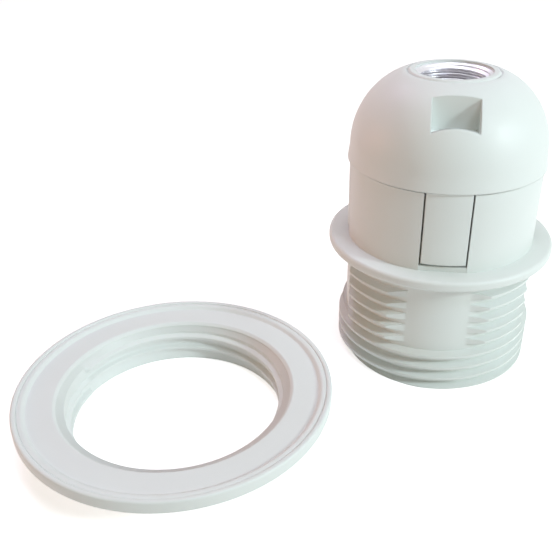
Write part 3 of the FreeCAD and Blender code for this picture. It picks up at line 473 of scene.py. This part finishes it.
class BushSizes(bpy.types.PropertyGroup):
    """The threaded entry bush."""

    radius: FloatProperty(name="Outside", description="Outer radius of the bush",
                          default=7.5 * MM, unit="LENGTH", subtype="DISTANCE")
    bore: FloatProperty(name="Crests", description="Radius over the thread's crests",
                        default=6.0 * MM, unit="LENGTH", subtype="DISTANCE")
    depth: FloatProperty(name="Thread depth", description="Depth of the thread below its crests",
                         default=0.52 * MM, unit="LENGTH", subtype="DISTANCE")
    pitch: FloatProperty(name="Pitch", description="Rise of the thread in one turn",
                         default=1.0 * MM, unit="LENGTH", subtype="DISTANCE")
    flare: FloatProperty(name="Flare", description="Width of the chamfer at both ends",
                         default=0.8 * MM, unit="LENGTH", subtype="DISTANCE")
    trim: FloatProperty(name="Trim", description="Chamfer round the outside of both ends",
                        default=0.22 * MM, unit="LENGTH", subtype="DISTANCE")


class ShellSizes(bpy.types.PropertyGroup):
    """The rolled screw shell."""

    radius: FloatProperty(name="Inside", description="Radius between the rolled ridges",
                          default=13.3 * MM, unit="LENGTH", subtype="DISTANCE")
    ridge: FloatProperty(name="Ridge", description="How far the rolled ridges reach inwards",
                         default=1.0 * MM, unit="LENGTH", subtype="DISTANCE")
    pitch: FloatProperty(name="Pitch", description="Rise of the lamp thread in one turn",
                         default=3.629 * MM, unit="LENGTH", subtype="DISTANCE")
    wall: FloatProperty(name="Wall", description="Thickness of the sheet",
                        default=0.4 * MM, unit="LENGTH", subtype="DISTANCE")
    neck_inset: FloatProperty(name="Neck inset", description="How far the shell closes in at its end",
                              default=0.9 * MM, unit="LENGTH", subtype="DISTANCE")
    neck_fall: FloatProperty(name="Neck height", description="Height over which the shell closes in",
                             default=3.0 * MM, unit="LENGTH", subtype="DISTANCE")
    hole: FloatProperty(name="End hole", description="Radius of the hole in the shell's end",
                        default=6.82 * MM, unit="LENGTH", subtype="DISTANCE")


class LAMPHOLDER_OT_finishes(bpy.types.Operator):
    """Give every CAD node that stays in view its material and smooth shading"""

    bl_idname = "lampholder.finishes"
    bl_label = "Finish the mouldings and fittings"

    def execute(self, context):
        for name, (finish, edge) in NODE_FINISH.items():
            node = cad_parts[name]
            material = make_finish(finish, edge)
            if not node.material_slots:
                raise RuntimeError(name + " has no material slot")
            for slot in node.material_slots:
                slot.link = "OBJECT"
                slot.material = material
            smooth = node.modifiers.new("smooth_faces", "NODES")
            smooth.node_group = smooth_group()
        return {"FINISHED"}


class LAMPHOLDER_OT_cap(bpy.types.Operator):
    """Give the domed cap its full shoulder, which runs up to the lip"""

    bl_idname = "lampholder.cap"
    bl_label = "Domed cap"

    def execute(self, context):
        points, triangles = joined_mesh(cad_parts["dome_cap"])
        points = cap_points(context.scene.holder_cap, points)
        mesh = bpy.data.meshes.new("full_dome_cap")
        mesh.from_pydata(points.tolist(), [], triangles.tolist())
        mesh.update()
        mesh.validate()
        piece = bpy.data.objects.new("full_dome_cap", mesh)
        context.scene.collection.objects.link(piece)
        piece.modifiers.new("smooth_faces", "NODES").node_group = smooth_group()
        finish_piece(piece, "moulded_abs_white", 0.35, "cap")
        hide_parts("dome_cap")
        return {"FINISHED"}


def joined_mesh(node):
    """Corners and triangles of a CAD node, with corners at one place made one."""
    mesh = node.data
    points = np.empty(len(mesh.vertices) * 3)
    mesh.vertices.foreach_get("co", points)
    mesh.calc_loop_triangles()
    triangles = np.empty(len(mesh.loop_triangles) * 3, dtype=int)
    mesh.loop_triangles.foreach_get("vertices", triangles)
    steps = np.round(points.reshape(-1, 3) / JOIN_DISTANCE)
    places, which = np.unique(steps, axis=0, return_inverse=True)
    triangles = which.reshape(-1)[triangles].reshape(-1, 3)
    a, b, c = triangles.T
    return places * JOIN_DISTANCE, triangles[(a != b) & (b != c) & (c != a)]


def cap_points(sizes, points):
    """Places of the cap's corners once its shoulder is full.

    A corner on the source's round, a circle about (CAP_CENTRE, CAP_FOOT) in radius and height, goes
    straight up to the ellipse of the same width and the given rise. Before that, corners in or near a
    notch slide along y by a piecewise linear map of |y| that takes the notch's walls to their new
    places; past the notch's sides the slide fades with |x|. The notch's floor comes up to its
    given height, and the step round the lip comes up and is drawn in."""
    x, y, z = points.T
    radius = np.hypot(x, y)
    off_round = np.abs(np.hypot(radius - CAP_CENTRE, z - CAP_FOOT) - CAP_ROUND)
    on_round = (off_round < ON_SURFACE) & (z > CAP_FOOT + ON_SURFACE)
    in_notch = (np.abs(x) < NOTCH_HALF + ON_SURFACE) & (z > NOTCH_FLOOR - ON_SURFACE)
    in_notch &= (np.abs(y) > NOTCH_BACK - ON_SURFACE) & (np.abs(y) < NOTCH_FRONT + ON_SURFACE)
    on_floor = in_notch & (z < NOTCH_FLOOR + ON_SURFACE)
    on_step = (np.abs(z - STEP_TOP) < ON_SURFACE) & (radius < STEP_RADIUS + ON_SURFACE)
    slid = np.interp(np.abs(y), [0, STEP_RADIUS, NOTCH_BACK, NOTCH_FRONT, CAP_SIDE, 1.0],
                     [0, STEP_RADIUS, sizes.notch_back, sizes.notch_front, CAP_SIDE, 1.0])
    fade = np.clip((SLIDE_REACH - np.abs(x)) / (SLIDE_REACH - NOTCH_HALF), 0, 1)
    y = np.where(on_round | in_notch, np.sign(y) * (np.abs(y) + (slid - np.abs(y)) * fade), y)
    share = np.clip((np.hypot(x, y) - CAP_CENTRE) / CAP_ROUND, -1, 1)
    z = np.where(on_round, CAP_FOOT + sizes.rise * np.sqrt(1 - share ** 2), z)
    z = np.where(on_floor, sizes.notch_floor, z)
    outer = radius > LIP_RADIUS + ON_SURFACE
    z = np.where(on_step, sizes.groove + np.where(outer, GROOVE_SLOPE, 0), z)
    drawn_in = np.where(np.abs(radius - STEP_RADIUS) < ON_SURFACE, sizes.step / STEP_RADIUS, 1.0)
    return np.stack([x * drawn_in, y * drawn_in, z], axis=-1)


class LAMPHOLDER_OT_ring(bpy.types.Operator):
    """Mould the shade ring with its two-bead rim, its sloping ledge and its thread"""

    bl_idname = "lampholder.ring"
    bl_label = "Shade ring"

    def execute(self, context):
        low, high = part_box("shade_ring")
        middle = (low + high) / 2
        points = ring_points(context.scene.holder_ring, (high.x - low.x) / 2, high.z)
        piece = grid_piece("beaded_shade_ring", points + np.array([middle.x, middle.y, 0]))
        finish_piece(piece, "moulded_abs_white", 0.12, "holder")
        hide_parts("shade_ring")
        return {"FINISHED"}


def round_corners(corners):
    """A closed section as an array of radius and height, from corners given as radius, height and
    rounding, the last in millimetres.

    Each corner becomes a quadratic curve, (1 - s)^2 a + 2 s (1 - s) b + s^2 c for s from 0 to 1,
    where b is the corner and a and c lie on its two sides at the rounding's length from it."""
    corners = np.array(corners)
    b, rounding = corners[:, None, :2], corners[:, None, 2:] * MM
    before, after = np.roll(b, 1, axis=0) - b, np.roll(b, -1, axis=0) - b
    a = b + before / np.linalg.norm(before, axis=-1, keepdims=True) * rounding
    c = b + after / np.linalg.norm(after, axis=-1, keepdims=True) * rounding
    s = np.linspace(0, 1, CORNER_POINTS)[:, None]
    return ((1 - s) ** 2 * a + 2 * s * (1 - s) * b + s ** 2 * c).reshape(-1, 2)


def ring_points(sizes, outside, top):
    """Grid of the ring: rows run up the bore and round the section, columns run round the axis.

    The bore's radius is bore - bite x clip((base / 2 - d) / flank, 0, 1) x fade. Here d is the height
    from the nearer of two turns of one ridge, which starts bluntly under the ledge at the angle
    RIDGE_START and falls one pitch a turn; fade rises from 0 to 1 just above the foot."""
    angle = np.linspace(0, 2 * np.pi, RING_COLUMNS, endpoint=False)
    turn, z = np.meshgrid(angle, np.linspace(0, sizes.ledge, RING_ROWS))
    fallen = sizes.pitch * ((RIDGE_START - turn) % (2 * np.pi)) / (2 * np.pi)
    middle = sizes.ledge - RIDGE_BASE / 2 - fallen
    d = np.minimum(np.abs(z - middle), np.abs(z - middle + sizes.pitch))
    ridge = np.clip((RIDGE_BASE / 2 - d) / RIDGE_FLANK, 0, 1)
    fade = np.clip((z - RIDGE_FADE_FROM) / RIDGE_FADE, 0, 1)
    bore = sizes.bore - sizes.bite * ridge * fade
    under = sizes.plate - RING_PLATE
    collar = sizes.bore + RING_COLLAR
    section = round_corners([
        (sizes.well - RING_STEP, sizes.shelf, 0.2),
        (sizes.well, sizes.plate, 0.2),
        (sizes.seam - RIM_BEAD - RIM_SLOPE, sizes.plate, 0.15),
        (sizes.seam - RIM_BEAD, sizes.bead, 0.3),
        (sizes.seam - RIM_GROOVE_HALF, sizes.bead, 0.06),
        (sizes.seam, sizes.bead - RIM_GROOVE_DEPTH, 0.03),
        (sizes.seam + RIM_GROOVE_HALF, sizes.bead + RIM_LIFT, 0.06),
        (sizes.seam + RIM_SHOULDER, top, 0.18),
        (outside, top, 0.4),
        (outside, under, 0.6),
        (collar, under, 0.4),
        (collar, 0, 0.2),
    ])
    rings = np.vstack([bore, np.repeat(section[:, :1], len(angle), axis=1)])
    levels = np.vstack([z, np.repeat(section[:, 1:], len(angle), axis=1)])
    turns = np.broadcast_to(angle, rings.shape)
    return np.stack([rings * np.cos(turns), rings * np.sin(turns), levels], axis=-1)


class LAMPHOLDER_OT_bush(bpy.types.Operator):
    """Turn the plated entry bush with its pendant thread"""

    bl_idname = "lampholder.bush"
    bl_label = "Entry bush"

    def execute(self, context):
        sizes = context.scene.holder_bush
        low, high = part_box("entry_bush")
        piece = grid_piece("threaded_entry_bush", bush_points(sizes, low.z, high.z))
        finish_piece(piece, "nickel_plated_brass", 0.08, "cap")
        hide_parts("entry_bush")
        return {"FINISHED"}


def bush_points(sizes, bottom, top):
    """Grid of the bush: rows run up the plain outside and down the bore, columns run round the axis.

    The bore's radius is crest + depth x clip((|2t - 1| - flat) / flank, 0, 1), where t is the
    fraction of z / pitch - angle / turn, so it is a vee thread with small flats. The chamfer cones,
    mouth radius less the distance to the nearer end, stand where they are wider than the thread."""
    angle = np.linspace(0, 2 * np.pi, BUSH_COLUMNS, endpoint=False)
    turn, z = np.meshgrid(angle, np.linspace(top, bottom, BUSH_ROWS))
    t = (z / sizes.pitch - turn / (2 * np.pi)) % 1.0
    thread = sizes.bore + sizes.depth * np.clip((np.abs(2 * t - 1) - BUSH_FLAT) / BUSH_FLANK, 0, 1)
    mouth = sizes.bore + sizes.flare
    bore = np.maximum(thread, mouth - np.minimum(z - bottom, top - z))
    level = np.ones(len(angle))
    small = sizes.radius - sizes.trim
    outside = [small * level, sizes.radius * level, sizes.radius * level, small * level]
    stops = [bottom * level, (bottom + sizes.trim) * level, (top - sizes.trim) * level, top * level]
    rings = np.vstack(outside + [bore])
    levels = np.vstack(stops + [z])
    turns = np.broadcast_to(angle, rings.shape)
    return np.stack([rings * np.cos(turns), rings * np.sin(turns), levels], axis=-1)


class LAMPHOLDER_OT_shell(bpy.types.Operator):
    """Roll the screw shell with its round lamp thread"""

    bl_idname = "lampholder.shell"
    bl_label = "Screw shell"

    def execute(self, context):
        sizes = context.scene.holder_shell
        low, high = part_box("screw_shell")
        piece = grid_piece("rolled_screw_shell", shell_points(sizes, low.z, high.z))
        finish_piece(piece, "nickel_plated_brass", 0.05, "holder")
        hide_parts("screw_shell")
        return {"FINISHED"}


def shell_points(sizes, bottom, top):
    """Grid of the shell: rows run up the inside, over the end disc's hole and down the outside.

    The inside radius is radius - ridge x fade x (1 - cos(2 pi (z / pitch - angle / turn))) / 2, where
    fade rises and falls smoothly near both ends, then a line to the neck; the outside is one wall
    thickness further out, and the end disc lies one wall thickness thick at the top."""
    angle = np.linspace(0, 2 * np.pi, SHELL_COLUMNS, endpoint=False)
    neck_low = top - sizes.wall - sizes.neck_fall
    turn, z = np.meshgrid(angle, np.linspace(bottom, neck_low, SHELL_ROWS))
    rise = np.clip((z - bottom - SHELL_PLAIN) / SHELL_FADE, 0, 1)
    fall = np.clip((neck_low - SHELL_NECK_PLAIN - z) / SHELL_FADE, 0, 1)
    fade = rise * rise * (3 - 2 * rise) * fall * fall * (3 - 2 * fall)
    wave = (1 - np.cos(2 * np.pi * (z / sizes.pitch - turn / (2 * np.pi)))) / 2
    inside = sizes.radius - sizes.ridge * fade * wave
    neck = sizes.radius - sizes.neck_inset
    level = np.ones(len(angle))
    disc_rings = [neck * level, sizes.hole * level, sizes.hole * level, (neck + sizes.wall) * level]
    disc_heights = [(top - sizes.wall) * level, (top - sizes.wall) * level, top * level, top * level]
    rings = np.vstack([inside] + disc_rings + [inside[::-1] + sizes.wall])
    levels = np.vstack([z] + disc_heights + [z[::-1]])
    turns = np.broadcast_to(angle, rings.shape)
    return np.stack([rings * np.cos(turns), rings * np.sin(turns), levels], axis=-1)


def area_lamp(name, turn, rise, side, power, colour):
    """A square lamp that faces the middle of the scene; turn and rise, in degrees, are the longitude
    and the latitude of its place on a sphere round that middle."""
    data = bpy.data.lights.new(name, "AREA")
    data.size = side
    data.energy = power
    data.color = colour
    lamp = bpy.data.objects.new(name, data)
    turn, rise = math.radians(turn), math.radians(rise)
    level = math.cos(rise)
    towards = Vector((level * math.cos(turn), level * math.sin(turn), math.sin(rise)))
    lamp.location = Vector(LAMP_MIDDLE) + LAMP_DISTANCE * towards
    lamp.rotation_euler = towards.to_track_quat("Z", "Y").to_euler()
    bpy.context.scene.collection.objects.link(lamp)


def seen_share(tree):
    """A socket that is one for what the camera sees, straight on, through a gap or mirrored, and zero
    for the rays that only carry light between the pieces."""
    ray = add_node(tree, "ShaderNodeLightPath")
    direct = add_node(tree, "ShaderNodeMath", {
        0: ray.outputs["Is Camera Ray"], 1: ray.outputs["Is Transmission Ray"],
    }, operation="MAXIMUM")
    seen = add_node(tree, "ShaderNodeMath", {
        0: direct.outputs[0], 1: ray.outputs["Is Glossy Ray"],
    }, operation="MAXIMUM")
    return seen.outputs[0]


def floor_material(glow):
    """Matt white paper that takes the shadow. Its glow shows where it is seen, and lights nothing."""
    material, tree = new_material("matt_white_paper")
    place = add_node(tree, "ShaderNodeTexCoord").outputs["Object"]
    fibre = add_node(tree, "ShaderNodeTexNoise", {
        "Vector": place, "Scale": 1 / PAPER_PATCH, "Detail": 2.0,
    })
    tone = add_node(tree, "ShaderNodeMix", {
        "Factor": fibre.outputs["Fac"], "A": linear("#f4f4f3"), "B": linear("#f8f8f8"),
    }, data_type="RGBA")
    paper = add_node(tree, "ShaderNodeBsdfDiffuse", {"Color": tone.outputs["Result"]})
    share = add_node(tree, "ShaderNodeMath", {0: seen_share(tree), 1: glow}, operation="MULTIPLY")
    white = add_node(tree, "ShaderNodeEmission", {"Strength": share.outputs[0]})
    both = add_node(tree, "ShaderNodeAddShader", {0: paper.outputs[0], 1: white.outputs[0]})
    close_material(tree, both)
    return material


class LAMPHOLDER_OT_stage(bpy.types.Operator):
    """Set up the floor, the lamps, the surroundings and the photograph's camera"""

    bl_idname = "lampholder.stage"
    bl_label = "Stage"

    def execute(self, context):
        scene = context.scene
        stage = scene.holder_stage
        sides = [(-1, -1), (1, -1), (1, 1), (-1, 1)]
        mesh = bpy.data.meshes.new("floor")
        mesh.from_pydata([(x * FLOOR_HALF, y * FLOOR_HALF, 0) for x, y in sides], [], [(0, 1, 2, 3)])
        mesh.materials.append(floor_material(stage.floor_glow))
        floor = bpy.data.objects.new("floor", mesh)
        scene.collection.objects.link(floor)
        for name, (turn, rise, side) in LAMPS.items():
            power = getattr(stage, name + "_power")
            area_lamp(name + "_lamp", turn, rise, side, power, getattr(stage, name + "_colour"))
        world = bpy.data.worlds.new("pale_room")
        world.use_nodes = True
        tree = world.node_tree
        tree.nodes.clear()
        room = add_node(tree, "ShaderNodeBackground", {
            "Color": tuple(stage.room_colour) + (1.0,), "Strength": stage.room_light,
        })
        white = add_node(tree, "ShaderNodeBackground", {
            "Color": (1.0, 1.0, 1.0, 1.0), "Strength": 1.0,
        })
        mixed = add_node(tree, "ShaderNodeMixShader", {
            0: seen_share(tree), 1: room.outputs[0], 2: white.outputs[0],
        })
        add_node(tree, "ShaderNodeOutputWorld", {"Surface": mixed.outputs[0]})
        scene.world = world
        scene.view_settings.view_transform = "Standard"
        place_camera(scene)
        return {"FINISHED"}


def place_camera(scene):
    """The camera of the photograph: yaw turns it about the vertical, pitch tips it down, roll turns
    it about its own line of sight."""
    yaw, pitch, roll = (math.radians(turn) for turn in (CAMERA_YAW, CAMERA_PITCH, CAMERA_ROLL))
    ahead = math.cos(pitch)
    forward = Vector((math.sin(yaw) * ahead, math.cos(yaw) * ahead, -math.sin(pitch)))
    level = forward.cross(Vector((0, 0, 1))).normalized()
    up = level.cross(forward)
    right = math.cos(roll) * level + math.sin(roll) * up
    top = -math.sin(roll) * level + math.cos(roll) * up
    data = bpy.data.cameras.new("photo_camera")
    data.sensor_width = CAMERA_SENSOR
    data.lens = CAMERA_LENS
    data.shift_x, data.shift_y = CAMERA_SHIFT
    data.clip_start = CAMERA_NEAR
    data.clip_end = CAMERA_FAR
    camera = bpy.data.objects.new("photo_camera", data)
    turned = Matrix((right, top, -forward)).transposed().to_4x4()
    camera.matrix_world = Matrix.Translation(CAMERA_PLACE) @ turned
    scene.collection.objects.link(camera)
    scene.camera = camera


class VIEW3D_PT_lampholder(bpy.types.Panel):
    """Lists the steps and their sizes"""

    bl_label = "Lamp holder"
    bl_idname = "VIEW3D_PT_lampholder"
    bl_space_type = "VIEW_3D"
    bl_region_type = "UI"
    bl_category = "Lamp holder"

    def draw(self, context):
        for operator in STEPS:
            self.layout.operator(operator.bl_idname)
        for name in SETTINGS:
            box = self.layout.box()
            group = getattr(context.scene, name)
            for key in group.__annotations__:
                box.prop(group, key)


SETTINGS = {
    "holder_finish": HolderFinish,
    "holder_stage": HolderStage,
    "holder_cap": CapSizes,
    "holder_ring": RingSizes,
    "holder_bush": BushSizes,
    "holder_shell": ShellSizes,
}
STEPS = (LAMPHOLDER_OT_finishes, LAMPHOLDER_OT_cap, LAMPHOLDER_OT_ring, LAMPHOLDER_OT_bush,
         LAMPHOLDER_OT_shell, LAMPHOLDER_OT_stage)


def register():
    """Registers the settings, the steps and the panel."""
    for name, group in SETTINGS.items():
        bpy.utils.register_class(group)
        setattr(bpy.types.Scene, name, PointerProperty(type=group))
    for step in STEPS + (VIEW3D_PT_lampholder,):
        bpy.utils.register_class(step)


def unregister():
    """Takes the panel, the steps and the settings away again."""
    for step in (VIEW3D_PT_lampholder,) + STEPS[::-1]:
        bpy.utils.unregister_class(step)
    for name, group in SETTINGS.items():
        delattr(bpy.types.Scene, name)
        bpy.utils.unregister_class(group)


def main():
    register()
    bpy.ops.lampholder.finishes()
    bpy.ops.lampholder.cap()
    bpy.ops.lampholder.ring()
    bpy.ops.lampholder.bush()
    bpy.ops.lampholder.shell()
    bpy.ops.lampholder.stage()


if __name__ == "__main__":
    main()
